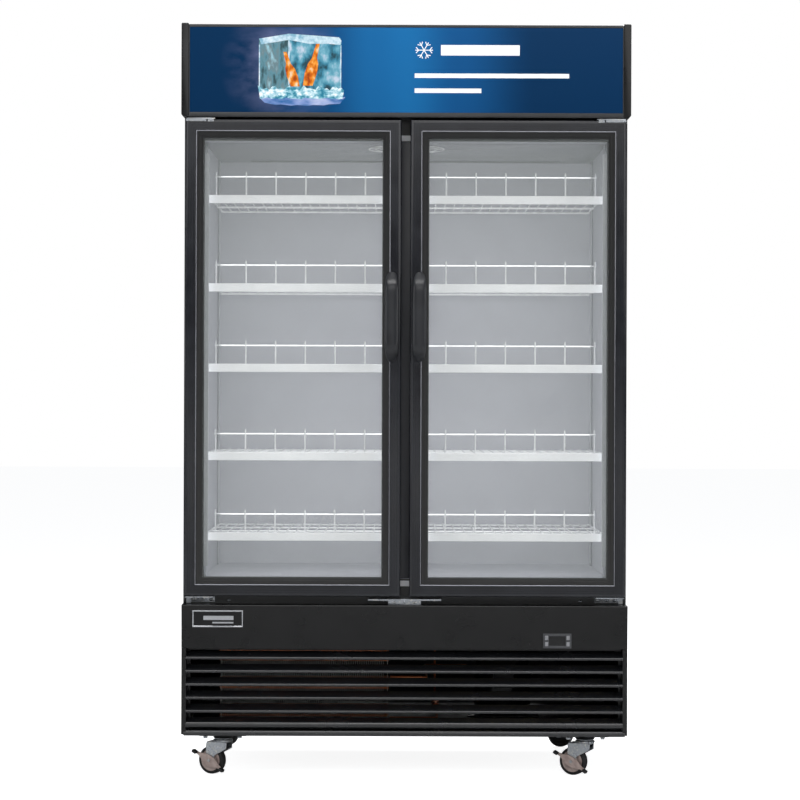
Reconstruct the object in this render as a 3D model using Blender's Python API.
"""Two-door glass door merchandiser on casters, as separate pieces.

Metres, +Z up, the doors face -Y, +X is the right-hand door's side. The origin is on the floor
under the middle of the whole object's box. Each piece is its own closed body. Pieces that touch
keep GAP between them.
"""

import math

import bmesh
import bpy
from mathutils import Matrix, Vector

# Overall sizes
WIDTH = 1.200
HEIGHT = 2.015
DEPTH = 0.730
HANDLE_REACH = 0.045
GAP = 0.0003
OVERSHOOT = 0.02

# Cabinet
CASE_INSET = 0.005
CASE_DROP = 0.006
SKIN = 0.001
LINER = 0.001
SIDE_WALL = 0.050
REAR_WALL = 0.062
ROOF = 0.054
BEAM_DEPTH = 0.045
BASE_DEPTH = 0.015
PLINTH_HEIGHT = 0.358
SILL_BAND = 0.0235
FLOOR_ABOVE_DOOR_FOOT = 0.0445
CEILING_BELOW_DOOR_TOP = 0.052
VENT_SLOTS = 8
VENT_INSET = 0.195
MULLION_OVERLAP = 0.038

# Header light box
HEADER_HEIGHT = 0.250
HEADER_CLEARANCE = 0.007
END_CAP_WIDTH = 0.020
END_CAP_RISE = 0.0035
HEADER_RAIL_TOP = 0.007
HEADER_RAIL_BOTTOM = 0.012
HEADER_SHEET = 0.002
SIGN_THICKNESS = 0.003

# Doors
DOOR_SIDE_INSET = 0.006
CENTRE_GAP = 0.024
DOOR_THICKNESS = 0.045
GASKET_THICKNESS = 0.0115
STILE = 0.048
GLASS_GROOVE = 0.008
GLASS_THICKNESS = 0.020
PANE = 0.004
SPACER = 0.010
PIVOT_INSET = 0.018
PIVOT_SETBACK = 0.0185
PIN_RADIUS = 0.004
PIN_LENGTH = 0.025
HANDLE_LENGTH = 0.241
HANDLE_WIDTH = 0.038
HANDLE_GRIP = 0.015
HANDLE_ABOVE_DOOR_FOOT = 0.746
HINGE_LENGTH = 0.079
HINGE_SHEET = 0.003

# Lower front
FASCIA_HEIGHT = 0.115
FASCIA_SHEET = 0.0015
GRILLE_DROP = 0.007
GRILLE_STRIP = 0.013
GRILLE_DEPTH = 0.040
LOUVRES = 6
LOUVRE_FIRST = 0.030
LOUVRE_LAST = 0.031
CONTROLLER_INSET = 0.1875
CONTROLLER_ABOVE_FASCIA_FOOT = 0.022
CONTROLLER_WIDTH = 0.075
CONTROLLER_HEIGHT = 0.039
KEY_WIDTH = 0.0085
KEY_HEIGHT = 0.011
KEY_PROUD = 0.001

# Shelves
PILASTER_WIDTH = 0.024
PILASTER_THICKNESS = 0.005
PILASTER_STEPS = 108
SHELF_STEPS = (95, 73, 53, 31, 11)
SHELF_BEAM_GAP = 0.0029
SHELF_REAR_GAP = 0.026
SHELF_WIRE = 0.006
SHELF_WEB = 0.001
SHELF_STRIP = 0.022
SHELF_BARS = 8
FENCE_HEIGHT = 0.052
FENCE_POSTS = 7
FENCE_INSET = 0.024
FENCE_POST_RISE = 0.010

# Casters
WHEEL_RADIUS = 0.0375
WHEEL_WIDTH = 0.024
AXLE_RADIUS = 0.004
FORK_GAP = 0.028
FORK_SHEET = 0.0025
TRAIL = 0.033
CASTER_HEADROOM = 0.030
CASTER_INSET = 0.107
CASTER_FRONT_INSET = 0.0195
CASTER_REAR_INSET = 0.110
CASTER_YAW = math.radians(153)
PAD_SIZE = 0.125
BRAKE_LENGTH = 0.100
BRAKE_SLOPE = math.radians(28)

# Cooling unit
COMPRESSOR_RADIUS = 0.080
COMPRESSOR_HEIGHT = 0.190
COMPRESSOR_SIDE_INSET = 0.315
COMPRESSOR_REAR_INSET = 0.2775
CONDENSER_WIDTH = 0.460
CONDENSER_HEIGHT = 0.270
CONDENSER_DEPTH = 0.110
CONDENSER_SIDE_GAP = 0.095
CONDENSER_FRONT_GAP = 0.020
FAN_RADIUS = 0.110
EVAPORATOR_SIDE_GAP = 0.145
EVAPORATOR_DEPTH = 0.170
EVAPORATOR_LIFT = 0.060
EVAPORATOR_HEADROOM = 0.0384
RETURN_SLOT_INSET = 0.095
COVER_FAN_RADIUS = 0.100

# Places worked out from the sizes
FRONT = HANDLE_REACH - (DEPTH + HANDLE_REACH) / 2
REAR = FRONT + DEPTH
CASE_HALF = WIDTH / 2 - CASE_INSET
CASE_FRONT = FRONT + DOOR_THICKNESS + GASKET_THICKNESS + 2 * GAP
CASE_TOP = HEIGHT - CASE_DROP
BASE_HEIGHT = 2 * WHEEL_RADIUS + CASTER_HEADROOM
BASE_TOP = BASE_HEIGHT + BASE_DEPTH
CASE_FOOT = BASE_TOP - 0.004
PLINTH_TOP = BASE_HEIGHT + PLINTH_HEIGHT
DOOR_FOOT = PLINTH_TOP + SILL_BAND
HEADER_FOOT = HEIGHT - HEADER_HEIGHT
DOOR_TOP = HEADER_FOOT - HEADER_CLEARANCE
DOOR_WIDTH = CASE_HALF - DOOR_SIDE_INSET - CENTRE_GAP / 2
DOOR_HEIGHT = DOOR_TOP - DOOR_FOOT
DOOR_X = CENTRE_GAP / 2 + DOOR_WIDTH / 2
PIVOT_X = CASE_HALF - DOOR_SIDE_INSET - PIVOT_INSET
PIVOT_Y = FRONT + PIVOT_SETBACK
CAVITY_HALF = CASE_HALF - SIDE_WALL
CAVITY_REAR = REAR - REAR_WALL
FLOOR = DOOR_FOOT + FLOOR_ABOVE_DOOR_FOOT
CEILING = DOOR_TOP - CEILING_BELOW_DOOR_TOP
COIL_ROOF = CASE_TOP - ROOF
BEAM_BACK = CASE_FRONT + BEAM_DEPTH
SHELF_FRONT = BEAM_BACK + SHELF_BEAM_GAP
SHELF_REAR = CAVITY_REAR - SHELF_REAR_GAP
SHELF_END = CAVITY_HALF - PILASTER_THICKNESS - 3 * GAP
SHELF_PITCH = (CEILING - FLOOR) / PILASTER_STEPS
FASCIA_FOOT = PLINTH_TOP - FASCIA_HEIGHT
CAP_INNER = WIDTH / 2 - END_CAP_WIDTH
HEADER_BACK = CASE_FRONT - GAP
HANDLE_X = CENTRE_GAP / 2 + STILE / 2 + 0.001
HANDLE_Z = DOOR_FOOT + HANDLE_ABOVE_DOOR_FOOT
CONTROLLER_X = CASE_HALF - CONTROLLER_INSET
CONTROLLER_Z = FASCIA_FOOT + CONTROLLER_ABOVE_FASCIA_FOOT
GRILLE_FOOT = CASE_FOOT - GRILLE_DROP
LOUVRE_PITCH = (FASCIA_FOOT - GRILLE_FOOT - LOUVRE_FIRST - LOUVRE_LAST) / (LOUVRES - 1)
CASTER_X = CASE_HALF - CASTER_INSET


def clear_scene():
    for item in list(bpy.data.objects):
        bpy.data.objects.remove(item, do_unlink=True)


def block(bm, low, high):
    """A box between two opposite corners."""
    low, high = Vector(low), Vector(high)
    size = high - low
    place = Matrix.Translation((low + high) / 2) @ Matrix.Diagonal((*size, 1.0))
    bmesh.ops.create_cube(bm, size=1.0, matrix=place)


def prism(bm, outline, axis, start, end):
    """An outline drawn across one axis, and extruded along it from start to end."""
    spread = {
        "X": lambda a, b: (start, a, b),
        "Y": lambda a, b: (a, start, b),
        "Z": lambda a, b: (a, b, start),
    }[axis]
    along = Vector([end - start if letter == axis else 0.0 for letter in "XYZ"])
    face = bm.faces.new([bm.verts.new(spread(a, b)) for a, b in outline])
    grown = bmesh.ops.extrude_face_region(bm, geom=[face])["geom"]
    bmesh.ops.translate(bm, verts=[v for v in grown if isinstance(v, bmesh.types.BMVert)], vec=along)
    bmesh.ops.recalc_face_normals(bm, faces=bm.faces)


def turned(bm, profile, axis, centre, steps=24):
    """A half-section of (radius, height) points, turned once about an axis.

    A section that starts and ends on the axis is closed by the turning itself.
    """
    solid = bmesh.new()
    points = [solid.verts.new((radius, 0.0, height)) for radius, height in profile]
    pairs = list(zip(points, points[1:]))
    if profile[0][0] > 0:
        pairs.append((points[-1], points[0]))
    edges = [solid.edges.new(pair) for pair in pairs]
    bmesh.ops.spin(
        solid,
        geom=points + edges,
        cent=(0, 0, 0),
        axis=(0, 0, 1),
        angle=math.tau,
        steps=steps,
        use_merge=True,
    )
    bmesh.ops.remove_doubles(solid, verts=solid.verts, dist=1e-6)
    turn = {"Y": Matrix.Rotation(-math.pi / 2, 4, "X"), "Z": Matrix()}[axis]
    solid.transform(Matrix.Translation(centre) @ turn)
    bmesh.ops.recalc_face_normals(solid, faces=solid.faces)
    mesh = bpy.data.meshes.new("turned")
    solid.to_mesh(mesh)
    solid.free()
    bm.from_mesh(mesh)
    bpy.data.meshes.remove(mesh)


def ring(bm, section, width, height, centre):
    """A mitred rectangular frame from a section of (inset, depth) points."""
    loops = []
    for inset, depth in section:
        x = width / 2 - inset
        z = height / 2 - inset
        corners = ((-x, -z), (x, -z), (x, z), (-x, z))
        loops.append([bm.verts.new(Vector(centre) + Vector((a, depth, b))) for a, b in corners])
    for near, far in zip(loops, loops[1:] + loops[:1]):
        for i in range(4):
            bm.faces.new((near[i], near[i - 1], far[i - 1], far[i]))
    bmesh.ops.recalc_face_normals(bm, faces=bm.faces)


def material(name, colour, roughness, metallic):
    finish = bpy.data.materials.new(name + "_finish")
    finish.use_nodes = True
    shader = finish.node_tree.nodes["Principled BSDF"]
    shader.inputs["Base Color"].default_value = (*colour, 1.0)
    shader.inputs["Roughness"].default_value = roughness
    shader.inputs["Metallic"].default_value = metallic
    return finish


BLACK = ((0.012, 0.012, 0.013), 0.42, 0.0)
BLACK_METAL = ((0.020, 0.021, 0.023), 0.40, 0.6)
RUBBER = ((0.010, 0.010, 0.010), 0.80, 0.0)
WHITE = ((0.80, 0.81, 0.84), 0.40, 0.0)
ZINC = ((0.62, 0.63, 0.65), 0.32, 1.0)
COPPER = ((0.50, 0.24, 0.13), 0.35, 1.0)
GLASS = ((0.85, 0.90, 0.90), 0.05, 0.0)
FOAM = ((0.75, 0.66, 0.42), 0.90, 0.0)
BLUE = ((0.012, 0.075, 0.20), 0.25, 0.0)
GREY = ((0.30, 0.30, 0.31), 0.50, 0.0)


def piece(name, bm, finish, origin=(0, 0, 0), parent=None, smooth=False):
    """One named object whose mesh, drawn in world places, is moved to its own origin."""
    origin = Vector(origin)
    bmesh.ops.translate(bm, verts=bm.verts, vec=-origin)
    mesh = bpy.data.meshes.new(name)
    bm.to_mesh(mesh)
    bm.free()
    if smooth:
        mesh.shade_smooth()
        mesh.set_sharp_from_angle(angle=math.radians(35))
    item = bpy.data.objects.new(name, mesh)
    bpy.context.scene.collection.objects.link(item)
    item.location = origin
    if parent:
        item.parent = parent
        item.location = origin - parent.location
    item.data.materials.append(material(name, *finish))
    return item


def group(name, place):
    """An empty that a moving assembly hangs on, on its joint's axis."""
    empty = bpy.data.objects.new(name, None)
    bpy.context.scene.collection.objects.link(empty)
    empty.location = place
    return empty


def boolean(item, operation, bm, name):
    """Adds or cuts the shape in bm, drawn in world places, with a hidden guide."""
    guide_mesh = bpy.data.meshes.new(name)
    bm.to_mesh(guide_mesh)
    bm.free()
    guide = bpy.data.objects.new(name, guide_mesh)
    bpy.context.scene.collection.objects.link(guide)
    guide.hide_render = True
    guide.display_type = "WIRE"
    change = item.modifiers.new(name, "BOOLEAN")
    change.operation = operation
    change.solver = "EXACT"
    change.object = guide


def blocks(*corners):
    """A shape of several separate boxes."""
    bm = bmesh.new()
    for low, high in corners:
        block(bm, low, high)
    return bm


def cavity_outline(grow, front):
    """The stepped hollow of the cold room, seen from the side."""
    return [
        (front, FLOOR - grow),
        (CAVITY_REAR + grow, FLOOR - grow),
        (CAVITY_REAR + grow, COIL_ROOF + grow),
        (BEAM_BACK - grow, COIL_ROOF + grow),
        (BEAM_BACK - grow, CEILING + grow),
        (front, CEILING + grow),
    ]


def cavity(grow, front):
    bm = bmesh.new()
    reach = CAVITY_HALF + grow
    prism(bm, cavity_outline(grow, front), "X", -reach, reach)
    return bm


def make_outer_cabinet():
    bm = blocks(((-CASE_HALF, CASE_FRONT, CASE_FOOT), (CASE_HALF, REAR, CASE_TOP)))
    case = piece("outer_cabinet", bm, BLACK, (0, CASE_FRONT, CASE_FOOT))
    inside = CASE_HALF - SKIN
    hollow = blocks(
        (
            (-inside, CASE_FRONT + SKIN, CASE_FOOT - OVERSHOOT),
            (inside, REAR - SKIN, CASE_TOP - SKIN),
        )
    )
    boolean(case, "DIFFERENCE", hollow, "case_hollow")
    edge = LINER + GAP
    jamb = CAVITY_HALF + edge
    machine = CASE_HALF - OVERSHOOT
    before = CASE_FRONT - OVERSHOOT
    behind = CASE_FRONT + OVERSHOOT
    openings = blocks(
        ((-jamb, before, FLOOR - edge), (jamb, behind, CEILING + edge)),
        ((-machine, before, CASE_FOOT + OVERSHOOT), (machine, behind, PLINTH_TOP - OVERSHOOT)),
    )
    boolean(case, "DIFFERENCE", openings, "case_openings")
    vents = bmesh.new()
    first = BASE_TOP + 0.05
    pitch = (PLINTH_TOP - 0.06 - first) / (VENT_SLOTS - 1)
    reach = CASE_HALF - VENT_INSET
    for row in range(VENT_SLOTS):
        z = first + row * pitch
        block(vents, (-reach, REAR - OVERSHOOT, z - 0.006), (reach, REAR + OVERSHOOT, z + 0.006))
    boolean(case, "DIFFERENCE", vents, "case_vents")


def make_insulation_foam():
    side = CASE_HALF - SKIN - GAP
    low = (-side, CASE_FRONT + SKIN + GAP, PLINTH_TOP)
    high = (side, REAR - SKIN - GAP, CASE_TOP - SKIN - GAP)
    foam = piece("insulation_foam", blocks((low, high)), FOAM, low)
    boolean(foam, "DIFFERENCE", cavity(LINER + GAP, CASE_FRONT - OVERSHOOT), "foam_hollow")


def make_inner_liner():
    liner = piece("inner_liner", cavity(LINER, CASE_FRONT), WHITE, (0, CASE_FRONT, FLOOR))
    boolean(liner, "DIFFERENCE", cavity(0.0, CASE_FRONT - OVERSHOOT), "liner_hollow")


def make_mullion():
    half = CENTRE_GAP / 2 + MULLION_OVERLAP
    low = (-half, CASE_FRONT, FLOOR + GAP)
    high = (half, BEAM_BACK - GAP, CEILING - GAP)
    piece("mullion", blocks((low, high)), BLACK, low)


def caster_places():
    """Swivel points, by name."""
    rows = (("front", CASE_FRONT + CASTER_FRONT_INSET), ("rear", REAR - CASTER_REAR_INSET))
    return {
        (row, side): Vector((sign * CASTER_X, y, 0.0))
        for row, y in rows
        for side, sign in (("left", -1), ("right", 1))
    }


def make_base_frame():
    side = CASE_HALF - SKIN - GAP
    rail = CASE_HALF - 0.016
    front = CASE_FRONT + SKIN + GAP
    rear = REAR - SKIN - GAP
    floor = blocks(((-side, front, BASE_TOP - 0.003), (side, rear, BASE_TOP)))
    base = piece("base_frame", floor, BLACK_METAL, (0, front, BASE_TOP))
    frame = bmesh.new()
    rail_top = BASE_TOP - 0.002
    rail_foot = BASE_HEIGHT + 0.003
    for low, high in ((-rail, -rail + 0.04), (rail - 0.04, rail)):
        block(frame, (low, front + 0.004, rail_foot), (high, rear - 0.004, rail_top))
    boolean(base, "UNION", frame, "base_side_rails")
    cross = bmesh.new()
    for low, high in ((front + 0.002, front + 0.042), (rear - 0.042, rear - 0.002)):
        block(cross, (-rail + 0.01, low, rail_foot - 0.001), (rail - 0.01, high, rail_top + 0.001))
    boolean(base, "UNION", cross, "base_cross_rails")
    pads = bmesh.new()
    for spot in caster_places().values():
        y = min(max(spot.y, front + PAD_SIZE / 2 + 0.001), rear - PAD_SIZE / 2 - 0.001)
        half = PAD_SIZE / 2
        block(pads, (spot.x - half, y - half, BASE_HEIGHT), (spot.x + half, y + half, rail_top + 0.0005))
    boolean(base, "UNION", pads, "caster_pads")


def make_header():
    top = HEIGHT - END_CAP_RISE
    half = CAP_INNER - GAP
    shell = blocks(((-half, FRONT, HEADER_FOOT), (half, HEADER_BACK, top)))
    frame = piece("header_frame", shell, BLACK, (0, FRONT, HEADER_FOOT))
    sign_foot = HEADER_FOOT + HEADER_RAIL_BOTTOM
    sign_top = top - HEADER_RAIL_TOP
    hollow = blocks(
        ((-half + HEADER_SHEET, FRONT - OVERSHOOT, sign_foot), (half - HEADER_SHEET, HEADER_BACK - 0.006, sign_top))
    )
    boolean(frame, "DIFFERENCE", hollow, "header_hollow")
    notches = bmesh.new()
    for side in (-1, 1):
        a, b = sorted((side * (PIVOT_X + 0.02), side * (PIVOT_X - HINGE_LENGTH)))
        block(
            notches,
            (a, HEADER_BACK - 0.005, HEADER_FOOT - OVERSHOOT),
            (b, HEADER_BACK + OVERSHOOT, HEADER_FOOT + 0.036),
        )
    boolean(frame, "DIFFERENCE", notches, "header_hinge_notches")
    inner = half - HEADER_SHEET - GAP
    low = (-inner, FRONT + 0.0005, sign_foot + GAP)
    high = (inner, FRONT + 0.0005 + SIGN_THICKNESS, sign_top - GAP)
    piece("sign_panel", blocks((low, high)), BLUE, low)
    chamfer = 0.006
    for name, sign in (("left", -1), ("right", 1)):
        outline = [
            (sign * CAP_INNER, HEADER_FOOT),
            (sign * (WIDTH / 2 - chamfer), HEADER_FOOT),
            (sign * WIDTH / 2, HEADER_FOOT + chamfer),
            (sign * WIDTH / 2, HEIGHT - 0.002),
            (sign * (WIDTH / 2 - 0.002), HEIGHT),
            (sign * CAP_INNER, HEIGHT),
        ]
        cap = bmesh.new()
        prism(cap, outline, "Y", FRONT, HEADER_BACK)
        piece(f"header_end_cap_{name}", cap, BLACK, (sign * CAP_INNER, FRONT, HEADER_FOOT))


def make_pilasters():
    low_z = FLOOR + GAP
    high_z = CEILING - GAP
    wall = CAVITY_HALF - GAP
    rows = (("front", BEAM_BACK + 0.012), ("rear", CAVITY_REAR - 0.075))
    for row, y in rows:
        for side, sign in (("left", -1), ("right", 1)):
            a, b = sorted((sign * wall, sign * (wall - PILASTER_THICKNESS)))
            strip = blocks(((a, y, low_z), (b, y + PILASTER_WIDTH, high_z)))
            piece(f"pilaster_{side}_{row}", strip, ZINC, (a, y, low_z))
    y = CAVITY_REAR - GAP
    strip = blocks(
        ((-PILASTER_WIDTH / 2, y - PILASTER_THICKNESS, low_z), (PILASTER_WIDTH / 2, y, high_z))
    )
    piece("pilaster_centre_rear", strip, ZINC, (0, y, low_z))


def make_shelf(side, sign, level, z):
    start, end = sorted((sign * 0.003, sign * SHELF_END))
    name = f"shelf_{side}_{level}"
    deck = blocks(((start, SHELF_FRONT, z - SHELF_STRIP), (end, SHELF_REAR, z)))
    shelf = piece(name, deck, WHITE, (start, SHELF_FRONT, z))
    strip_back = SHELF_FRONT + 0.004
    under = blocks(
        (
            (start - OVERSHOOT, strip_back, z - SHELF_STRIP - OVERSHOOT),
            (end + OVERSHOOT, SHELF_REAR + OVERSHOOT, z - SHELF_WIRE),
        )
    )
    boolean(shelf, "DIFFERENCE", under, name + "_underside")
    bays = bmesh.new()
    bay = (end - start - SHELF_WIRE) / (SHELF_BARS + 1)
    rows = (SHELF_FRONT + 0.012, (SHELF_FRONT + SHELF_REAR) / 2, SHELF_REAR)
    for i in range(SHELF_BARS + 1):
        x = start + SHELF_WIRE + i * bay
        for near, far in zip(rows, rows[1:]):
            block(
                bays,
                (x, near, z - SHELF_WIRE + SHELF_WEB),
                (x + bay - SHELF_WIRE, far - SHELF_WIRE, z + OVERSHOOT),
            )
    boolean(shelf, "DIFFERENCE", bays, name + "_bays")
    fence = bmesh.new()
    y = SHELF_FRONT + 0.001
    wire = 0.004
    first = start + FENCE_INSET
    pitch = (end - start - 2 * FENCE_INSET - wire) / (FENCE_POSTS - 1)
    top = z + FENCE_HEIGHT + FENCE_POST_RISE
    outline = [(first, z - 0.003), (first, top)]
    for i in range(FENCE_POSTS):
        x = first + i * pitch
        if i:
            outline += [(x, z + FENCE_HEIGHT), (x, top)]
        outline += [(x + wire, top), (x + wire, z + FENCE_HEIGHT)]
    outline[-1] = (first + (FENCE_POSTS - 1) * pitch + wire, z - 0.003)
    for i in reversed(range(1, FENCE_POSTS)):
        x = first + i * pitch
        outline += [(x, z - 0.003), (x, z + FENCE_HEIGHT - wire)]
        left = first + (i - 1) * pitch + wire
        outline += [(left, z + FENCE_HEIGHT - wire), (left, z - 0.003)]
    prism(fence, outline, "Y", y, y + wire)
    boolean(shelf, "UNION", fence, name + "_fence")


def make_shelves():
    for side, sign in (("left", -1), ("right", 1)):
        for level, step in enumerate(SHELF_STEPS, start=1):
            make_shelf(side, sign, level, FLOOR + step * SHELF_PITCH)


def frame_section():
    """The door frame's section: flat face, bevel down to the glass, groove for the glass."""
    glass_front = 0.012
    glass_back = glass_front + GLASS_THICKNESS + 2 * GAP
    groove = STILE - GLASS_GROOVE
    return [
        (0.0, 0.004),
        (0.004, 0.0),
        (STILE - 0.019, 0.0),
        (STILE - 0.016, 0.003),
        (STILE, 0.009),
        (STILE, glass_front - GAP),
        (groove, glass_front - GAP),
        (groove, glass_back + GAP),
        (STILE, glass_back + GAP),
        (STILE, DOOR_THICKNESS),
        (0.0, DOOR_THICKNESS),
    ]


def handle_loft(bm, x):
    """A bowed grip, wide in the middle and pointed at both ends, that stands off the door."""
    stations = 14
    loops = []
    for i in range(stations + 1):
        t = i / stations
        along = 2 * t - 1
        width = 0.010 + (HANDLE_WIDTH - 0.010) * math.sqrt(max(0.0, 1 - along * along))
        rise = min(1.0, (1 - abs(along)) / 0.36)
        lift = 0.5 - 0.5 * math.cos(math.pi * rise)
        back = GAP + (HANDLE_REACH - HANDLE_GRIP - GAP) * lift
        front = 0.006 + (HANDLE_REACH - 0.006) * math.sin(math.pi / 2 * min(1.0, rise * 1.1))
        z = HANDLE_Z + along * HANDLE_LENGTH / 2
        half = width / 2
        section = (
            (-half, back + 0.3 * (front - back)),
            (-half * 0.7, back),
            (half * 0.7, back),
            (half, back + 0.3 * (front - back)),
            (half * 0.75, front - 0.12 * (front - back)),
            (0.0, front),
            (-half * 0.75, front - 0.12 * (front - back)),
        )
        loops.append([bm.verts.new((x + a, FRONT - b, z)) for a, b in section])
    count = len(loops[0])
    for lower, upper in zip(loops, loops[1:]):
        for i in range(count):
            bm.faces.new((lower[i - 1], lower[i], upper[i], upper[i - 1]))
    bm.faces.new(loops[0])
    bm.faces.new(list(reversed(loops[-1])))
    bmesh.ops.recalc_face_normals(bm, faces=bm.faces)


def make_door(side, sign):
    pivot = Vector((sign * PIVOT_X, PIVOT_Y, DOOR_FOOT))
    hang = group(f"{side}_door", pivot)
    middle = Vector((sign * DOOR_X, FRONT, (DOOR_FOOT + DOOR_TOP) / 2))
    bm = bmesh.new()
    ring(bm, frame_section(), DOOR_WIDTH, DOOR_HEIGHT, middle)
    frame = piece(f"{side}_door_frame", bm, BLACK, pivot, hang)
    bores = bmesh.new()
    depth = PIN_LENGTH + 0.002
    for low, high in ((DOOR_FOOT - 0.01, DOOR_FOOT + depth), (DOOR_TOP - depth, DOOR_TOP + 0.01)):
        turned(bores, [(0, low), (PIN_RADIUS + 0.0004, low), (PIN_RADIUS + 0.0004, high), (0, high)],
               "Z", (pivot.x, pivot.y, 0), 16)
    boolean(frame, "DIFFERENCE", bores, f"{side}_door_pin_bores")
    inset = STILE - GLASS_GROOVE + GAP
    half = Vector((DOOR_WIDTH / 2 - inset, 0, DOOR_HEIGHT / 2 - inset))
    near = Vector((0, 0.012 + GAP, 0))
    far = Vector((0, 0.012 + GAP + GLASS_THICKNESS, 0))
    glass = blocks((middle - half + near, middle + half + far))
    unit = piece(f"{side}_door_glass", glass, GLASS, pivot, hang)
    space = half - Vector((SPACER, 0, SPACER))
    hollow = blocks(
        (middle - space + near + Vector((0, PANE, 0)), middle + space + far - Vector((0, PANE, 0)))
    )
    boolean(unit, "DIFFERENCE", hollow, f"{side}_glass_space")
    fill = bmesh.new()
    block(
        fill,
        middle + Vector((-0.002, 0.012 + PANE + 0.004, half.z - 2 * SPACER)),
        middle + Vector((0.002, 0.012 + PANE + 0.008, half.z + OVERSHOOT)),
    )
    boolean(unit, "DIFFERENCE", fill, f"{side}_glass_fill_hole")
    seal = bmesh.new()
    near_seal = DOOR_THICKNESS + GAP
    far_seal = DOOR_THICKNESS + GASKET_THICKNESS
    section = [
        (PIVOT_INSET, near_seal),
        (PIVOT_INSET + 0.016, near_seal),
        (PIVOT_INSET + 0.016, far_seal - 0.002),
        (PIVOT_INSET + 0.014, far_seal),
        (PIVOT_INSET + 0.002, far_seal),
        (PIVOT_INSET, far_seal - 0.002),
    ]
    ring(seal, section, DOOR_WIDTH, DOOR_HEIGHT, middle)
    piece(f"{side}_door_gasket", seal, RUBBER, pivot, hang)
    grip = bmesh.new()
    handle_loft(grip, sign * HANDLE_X)
    piece(f"{side}_door_handle", grip, BLACK, pivot, hang, smooth=True)


def make_hinge(side, sign, end):
    """A stamped bracket with its pin: a plate beside the door's end and a flange on the cabinet."""
    up = 1 if end == "top" else -1
    face = DOOR_TOP if up > 0 else DOOR_FOOT
    near = face + up * 0.0015
    far = near + up * HINGE_SHEET
    outer = sign * (PIVOT_X + 0.015)
    inner = sign * (PIVOT_X + 0.015 - HINGE_LENGTH + 0.003)
    a, b = sorted((outer, inner))
    z0, z1 = sorted((near, far))
    back = CASE_FRONT - GAP
    name = f"hinge_{end}_{side}"
    plate = blocks(((a, FRONT + 0.004, z0), (b, back, z1)))
    hinge = piece(name, plate, ZINC, (sign * PIVOT_X, PIVOT_Y, near))
    reach = 0.032 if up > 0 else 0.018
    inside = sign * (CAP_INNER - 0.004)
    a, b = sorted((inner, min(outer, inside) if sign > 0 else max(outer, inside)))
    f0, f1 = sorted((near + up * 0.0005, near + up * reach))
    flange = blocks(((a, back - HINGE_SHEET, f0), (b, back - 0.0001, f1)))
    boolean(hinge, "UNION", flange, name + "_flange")
    pin = bmesh.new()
    p0, p1 = sorted((face - up * PIN_LENGTH, near + up * 0.0015))
    turned(pin, [(0, p0), (PIN_RADIUS, p0), (PIN_RADIUS, p1), (0, p1)], "Z",
           (sign * PIVOT_X, PIVOT_Y, 0), 12)
    boolean(hinge, "UNION", pin, name + "_pin")


def make_hinges():
    for side, sign in (("left", -1), ("right", 1)):
        for end in ("top", "bottom"):
            make_hinge(side, sign, end)
    top = DOOR_FOOT - 0.0075
    wing = top - 0.005
    foot = PLINTH_TOP + 0.0006
    outline = [
        (-0.098, top),
        (-0.098, wing),
        (-0.044, wing),
        (-0.044, foot),
        (0.044, foot),
        (0.044, wing),
        (0.098, wing),
        (0.098, top),
    ]
    bm = bmesh.new()
    prism(bm, outline, "Y", CASE_FRONT - 0.042, CASE_FRONT - GAP)
    piece("centre_bracket", bm, ZINC, (0, CASE_FRONT, foot))


def make_fascia():
    side = CASE_HALF
    foot = FASCIA_FOOT + GAP
    back = CASE_FRONT - GAP
    shell = blocks(((-side, FRONT, foot), (side, back, PLINTH_TOP)))
    fascia = piece("fascia_panel", shell, BLACK, (0, FRONT, foot))
    hollow = blocks(
        (
            (-side + FASCIA_SHEET, FRONT + FASCIA_SHEET, foot + FASCIA_SHEET),
            (side - FASCIA_SHEET, back + OVERSHOOT, PLINTH_TOP - FASCIA_SHEET),
        )
    )
    boolean(fascia, "DIFFERENCE", hollow, "fascia_hollow")
    z = CONTROLLER_Z
    x = CONTROLLER_WIDTH / 2 - 0.002
    h = CONTROLLER_HEIGHT / 2 - 0.002
    window = blocks(
        ((CONTROLLER_X - x, FRONT - OVERSHOOT, z - h), (CONTROLLER_X + x, FRONT + OVERSHOOT, z + h))
    )
    boolean(fascia, "DIFFERENCE", window, "controller_window")


def key_places():
    for column, x in (("left", -0.0285), ("right", 0.0285)):
        for row, rise in (("upper", 0.0085), ("lower", -0.0085)):
            yield f"{row}_{column}", Vector((CONTROLLER_X + x, FRONT, CONTROLLER_Z + rise))


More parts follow.
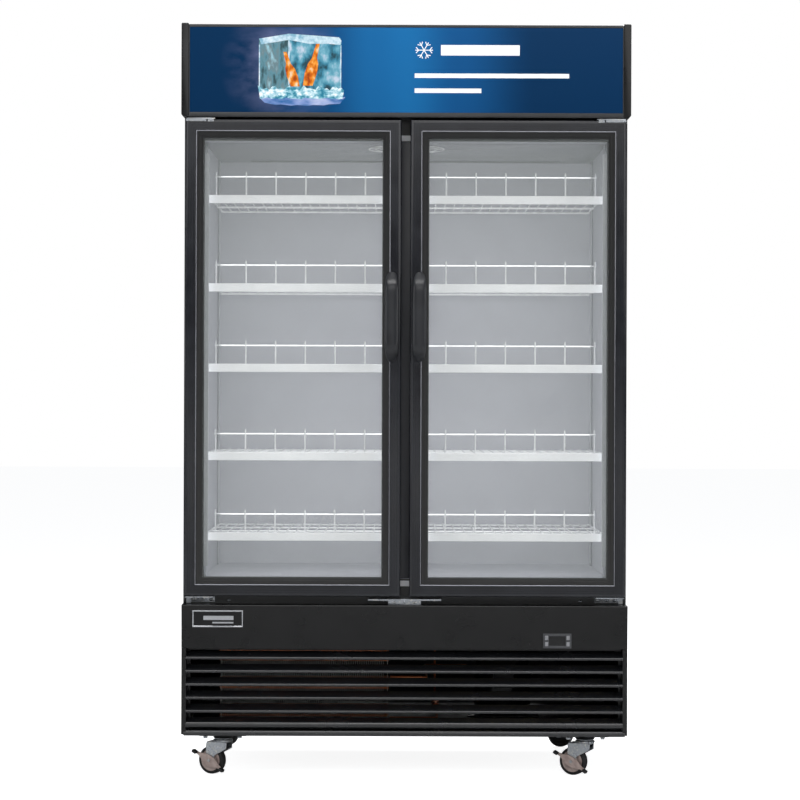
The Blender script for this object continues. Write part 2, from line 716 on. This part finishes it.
def make_controller():
    z = CONTROLLER_Z
    x = CONTROLLER_WIDTH / 2
    h = CONTROLLER_HEIGHT / 2
    bezel = blocks(((CONTROLLER_X - x, FRONT - 0.003, z - h), (CONTROLLER_X + x, FRONT - GAP, z + h)))
    box = piece("controller", bezel, GREY, (CONTROLLER_X, FRONT, z))
    body = blocks(
        (
            (CONTROLLER_X - x + 0.0024, FRONT - 0.002, z - h + 0.0024),
            (CONTROLLER_X + x - 0.0024, FRONT + 0.048, z + h - 0.0024),
        )
    )
    boolean(box, "UNION", body, "controller_body")
    cuts = blocks(
        ((CONTROLLER_X - 0.0225, FRONT - OVERSHOOT, z - 0.013), (CONTROLLER_X + 0.0225, FRONT - 0.0022, z + 0.013))
    )
    for _, spot in key_places():
        reach = Vector((KEY_WIDTH / 2 + 0.0004, 0, KEY_HEIGHT / 2 + 0.0004))
        block(
            cuts,
            spot - reach - Vector((0, OVERSHOOT, 0)),
            spot + reach + Vector((0, 0.004, 0)),
        )
    boolean(box, "DIFFERENCE", cuts, "controller_recesses")
    for name, spot in key_places():
        half = Vector((KEY_WIDTH / 2, 0, KEY_HEIGHT / 2))
        key = blocks((spot - half - Vector((0, 0.003 + KEY_PROUD, 0)), spot + half + Vector((0, 0.0025, 0))))
        piece(f"key_{name}", key, GREY, spot)


def make_louvre_grille():
    """A moulded grille: side strips, a foot band and a back rail carry six sloping louvres."""
    side = CASE_HALF
    foot = GRILLE_FOOT
    top = FASCIA_FOOT
    back = FRONT + GRILLE_DEPTH
    strip = GRILLE_STRIP
    sides = blocks(
        ((-side, FRONT + 0.001, foot + 0.008), (-side + strip, back, top)),
        ((side - strip, FRONT + 0.001, foot + 0.008), (side, back, top)),
    )
    grille = piece("louvre_grille", sides, BLACK, (0, FRONT, foot))
    bands = blocks(
        ((-side + 0.006, FRONT + 0.0005, foot), (side - 0.006, back - 0.001, foot + 0.020)),
        ((-side + 0.006, back - 0.008, top - 0.0085), (side - 0.006, back - 0.002, top - 0.001)),
    )
    boolean(grille, "UNION", bands, "grille_bands")
    louvres = bmesh.new()
    for row in range(LOUVRES):
        z = foot + LOUVRE_FIRST + row * LOUVRE_PITCH
        outline = [
            (FRONT, z),
            (FRONT, z + 0.008),
            (FRONT + 0.003, z + 0.0085),
            (FRONT + 0.034, z + 0.021),
            (FRONT + 0.034, z + 0.018),
            (FRONT + 0.003, z + 0.0045),
            (FRONT + 0.003, z),
        ]
        prism(louvres, outline, "X", -side + strip - 0.004, side - strip + 0.004)
    boolean(grille, "UNION", louvres, "grille_louvres")


def fork_outline(forward):
    """One leg of the fork, seen from the side: from the race down to the axle."""
    z = WHEEL_RADIUS
    arc = [
        (forward + 0.011 * math.cos(a), z + 0.011 * math.sin(a))
        for a in [math.radians(d) for d in (10, -25, -60, -90, -120, -155, -190)]
    ]
    head = BASE_HEIGHT - 0.016
    return [(-0.020, head), (0.026, head), (0.034, head - 0.012)] + arc + [(-0.018, head - 0.016)]


def make_caster(row, side, spot):
    name = f"{row}_{side}"
    turn = Matrix.Translation(spot) @ Matrix.Rotation(CASTER_YAW, 4, "Z")
    swivel = group(f"caster_{name}", spot)
    outer = FORK_GAP / 2 + FORK_SHEET
    head = BASE_HEIGHT - 0.016
    bm = blocks(((-0.0195, -outer, head - 0.002), (0.0265, outer, head + 0.002)))
    bm.transform(turn)
    fork = piece(f"caster_fork_{name}", bm, ZINC, spot, swivel, smooth=True)
    legs = bmesh.new()
    prism(legs, fork_outline(TRAIL), "Y", -outer - 0.0001, -FORK_GAP / 2)
    prism(legs, fork_outline(TRAIL), "Y", FORK_GAP / 2, outer + 0.0001)
    legs.transform(turn)
    boolean(fork, "UNION", legs, f"fork_legs_{name}")
    race = bmesh.new()
    crown = BASE_HEIGHT - GAP
    profile = [(0, head), (0.024, head), (0.026, head + 0.004), (0.024, crown - 0.004), (0.017, crown), (0, crown)]
    turned(race, profile, "Z", (0, 0, 0), 20)
    race.transform(turn)
    boolean(fork, "UNION", race, f"fork_race_{name}")
    axle = bmesh.new()
    reach = outer + 0.0055
    turned(axle, [(0, -reach), (AXLE_RADIUS, -reach), (AXLE_RADIUS, reach), (0, reach)], "Y",
           (TRAIL, 0, WHEEL_RADIUS), 12)
    axle.transform(turn)
    boolean(fork, "UNION", axle, f"fork_axle_{name}")

    hub = turn @ Vector((TRAIL, 0, WHEEL_RADIUS))
    wheel = bmesh.new()
    half = WHEEL_WIDTH / 2
    bore = AXLE_RADIUS + 0.0005
    rim = WHEEL_RADIUS - 0.009
    section = [
        (bore, -half),
        (0.010, -half),
        (0.012, -half + 0.004),
        (rim, -half + 0.004),
        (rim + 0.001, -half),
        (WHEEL_RADIUS - 0.003, -half),
        (WHEEL_RADIUS, -half + 0.004),
        (WHEEL_RADIUS, half - 0.004),
        (WHEEL_RADIUS - 0.003, half),
        (rim + 0.001, half),
        (rim, half - 0.004),
        (0.012, half - 0.004),
        (0.010, half),
        (bore, half),
    ]
    turned(wheel, section, "Y", (TRAIL, 0, WHEEL_RADIUS), 24)
    wheel.transform(turn)
    piece(f"caster_wheel_{name}", wheel, RUBBER, hub, swivel, smooth=True)
    if row == "front":
        make_brake(name, hub, outer, swivel)


def make_brake(name, hub, outer, swivel):
    """A stamped rocker on the axle's outer end, with a pedal at each end."""
    near = outer + GAP + 0.0002
    far = near + 0.003
    half = BRAKE_LENGTH / 2
    outline = [
        (-half, -0.004),
        (-0.016, -0.013),
        (0.016, -0.013),
        (half, -0.004),
        (half, 0.004),
        (0.016, 0.013),
        (-0.016, 0.013),
        (-half, 0.004),
    ]
    local = Matrix.Translation(hub) @ Matrix.Rotation(CASTER_YAW, 4, "Z") @ Matrix.Rotation(-BRAKE_SLOPE, 4, "Y")
    plate = bmesh.new()
    prism(plate, outline, "Y", near, far)
    plate.transform(local)
    lever = piece(f"brake_pedal_{name}", plate, BLACK, hub, swivel)
    pedals = blocks(
        ((-half - 0.004, near + 0.0005, -0.003), (-half + 0.010, near + 0.014, 0.003)),
        ((half - 0.010, near + 0.0005, -0.003), (half + 0.004, near + 0.014, 0.003)),
    )
    pedals.transform(local)
    boolean(lever, "UNION", pedals, f"pedal_tips_{name}")
    bore = bmesh.new()
    radius = AXLE_RADIUS + 0.0005
    turned(bore, [(0, near - 0.01), (radius, near - 0.01), (radius, far + 0.02), (0, far + 0.02)], "Y", (0, 0, 0), 16)
    bore.transform(local)
    boolean(lever, "DIFFERENCE", bore, f"pedal_bore_{name}")


def make_casters():
    for (row, side), spot in caster_places().items():
        make_caster(row, side, spot)


def fan_rotor(name, axis, centre, radius):
    """A hub with five blades, each pulled out of one side of the hub and twisted."""
    bm = bmesh.new()
    sides = 10
    hub = radius * 0.30
    bmesh.ops.create_cone(
        bm, cap_ends=True, segments=sides, radius1=hub, radius2=hub, depth=0.030
    )
    walls = [f for f in bm.faces if len(f.verts) == 4]
    walls.sort(key=lambda f: math.atan2(f.calc_center_median().y, f.calc_center_median().x))
    for wall in walls[::2]:
        outward = wall.normal.copy()
        tangent = outward.cross((0, 0, 1))
        for reach, thin, widen in ((0.10, 0.16, 1.2), (0.55, 1.0, 2.2)):
            wall = bmesh.ops.extrude_discrete_faces(bm, faces=[wall])["faces"][0]
            bmesh.ops.translate(bm, verts=wall.verts, vec=outward * radius * reach)
            middle = wall.calc_center_median()
            shape = Matrix.Scale(widen, 4, tangent) @ Matrix.Scale(thin, 4, (0, 0, 1))
            pitch = Matrix.Rotation(math.radians(14), 4, outward)
            place = Matrix.Translation(middle) @ pitch @ shape @ Matrix.Translation(-middle)
            bmesh.ops.transform(bm, verts=wall.verts, matrix=place)
    turn = {"Z": Matrix(), "Y": Matrix.Rotation(-math.pi / 2, 4, "X")}[axis]
    bm.transform(Matrix.Translation(centre) @ turn)
    bmesh.ops.recalc_face_normals(bm, faces=bm.faces)
    return piece(name, bm, BLACK, centre)


def make_condensing_unit():
    deck = BASE_TOP + GAP
    x = CASE_HALF - COMPRESSOR_SIDE_INSET
    y = REAR - COMPRESSOR_REAR_INSET
    r, h = COMPRESSOR_RADIUS, COMPRESSOR_HEIGHT
    reach = r + 0.020
    foot = blocks(((x - reach, y - r - 0.010, deck), (x + reach, y + r + 0.010, deck + 0.004)))
    motor = piece("compressor", foot, BLACK_METAL, (x, y, deck), smooth=True)
    shell = bmesh.new()
    profile = [
        (0, deck + 0.002),
        (r * 0.86, deck + 0.002),
        (r, deck + 0.016),
        (r, deck + h * 0.62),
        (r * 0.90, deck + h * 0.82),
        (r * 0.55, deck + h * 0.97),
        (0, deck + h),
    ]
    turned(shell, profile, "Z", (x, y, 0), 28)
    boolean(motor, "UNION", shell, "compressor_shell")
    left = CONDENSER_SIDE_GAP - CASE_HALF
    right = left + CONDENSER_WIDTH
    near = CASE_FRONT + CONDENSER_FRONT_GAP
    far = near + CONDENSER_DEPTH
    coil = blocks(((left, near, deck), (right, far, deck + CONDENSER_HEIGHT)))
    condenser = piece("condenser_coil", coil, COPPER, (left, near, deck))
    middle = Vector(((left + right) / 2, far, deck + CONDENSER_HEIGHT / 2))
    throat = bmesh.new()
    bore = FAN_RADIUS + 0.006
    turned(throat, [(0, -0.045), (bore, -0.045), (bore, 0.02), (0, 0.02)], "Y", middle, 28)
    boolean(condenser, "DIFFERENCE", throat, "condenser_shroud")
    fan_rotor("condenser_fan", "Y", middle - Vector((0, 0.022, 0)), FAN_RADIUS)


def make_evaporator():
    low = CEILING + 2 * GAP
    side = CAVITY_HALF - GAP
    front = BEAM_BACK + GAP
    rear = CAVITY_REAR - GAP
    tray = blocks(((-side, front, low), (side, rear, low + 0.025)))
    cover = piece("evaporator_cover", tray, GREY, (0, front, low))
    hollow = blocks(
        ((-side + 0.0015, front + 0.0015, low + 0.0015), (side - 0.0015, rear - 0.0015, low + OVERSHOOT * 2))
    )
    boolean(cover, "DIFFERENCE", hollow, "cover_hollow")
    middle = Vector((0.0, front + 0.140, low))
    holes = bmesh.new()
    turned(holes, [(0, -0.01), (COVER_FAN_RADIUS, -0.01), (COVER_FAN_RADIUS, 0.01), (0, 0.01)], "Z", middle, 28)
    slot = CAVITY_HALF - RETURN_SLOT_INSET
    block(holes, (-slot, rear - 0.060, low - 0.01), (slot, rear - 0.020, low + 0.01))
    boolean(cover, "DIFFERENCE", holes, "cover_holes")
    fan_rotor("evaporator_fan", "Z", middle + Vector((0, 0, 0.030)), COVER_FAN_RADIUS - 0.008)
    half = CAVITY_HALF - EVAPORATOR_SIDE_GAP
    y = middle.y + COVER_FAN_RADIUS + 0.030
    z = low + EVAPORATOR_LIFT
    coil = blocks(((-half, y, z), (half, y + EVAPORATOR_DEPTH, COIL_ROOF - EVAPORATOR_HEADROOM)))
    piece("evaporator_coil", coil, ZINC, (0, y, z))


def main():
    clear_scene()
    make_outer_cabinet()
    make_insulation_foam()
    make_inner_liner()
    make_mullion()
    make_base_frame()
    make_header()
    make_pilasters()
    make_shelves()
    for side, sign in (("left", -1), ("right", 1)):
        make_door(side, sign)
    make_hinges()
    make_fascia()
    make_controller()
    make_louvre_grille()
    make_casters()
    make_condensing_unit()
    make_evaporator()


main()
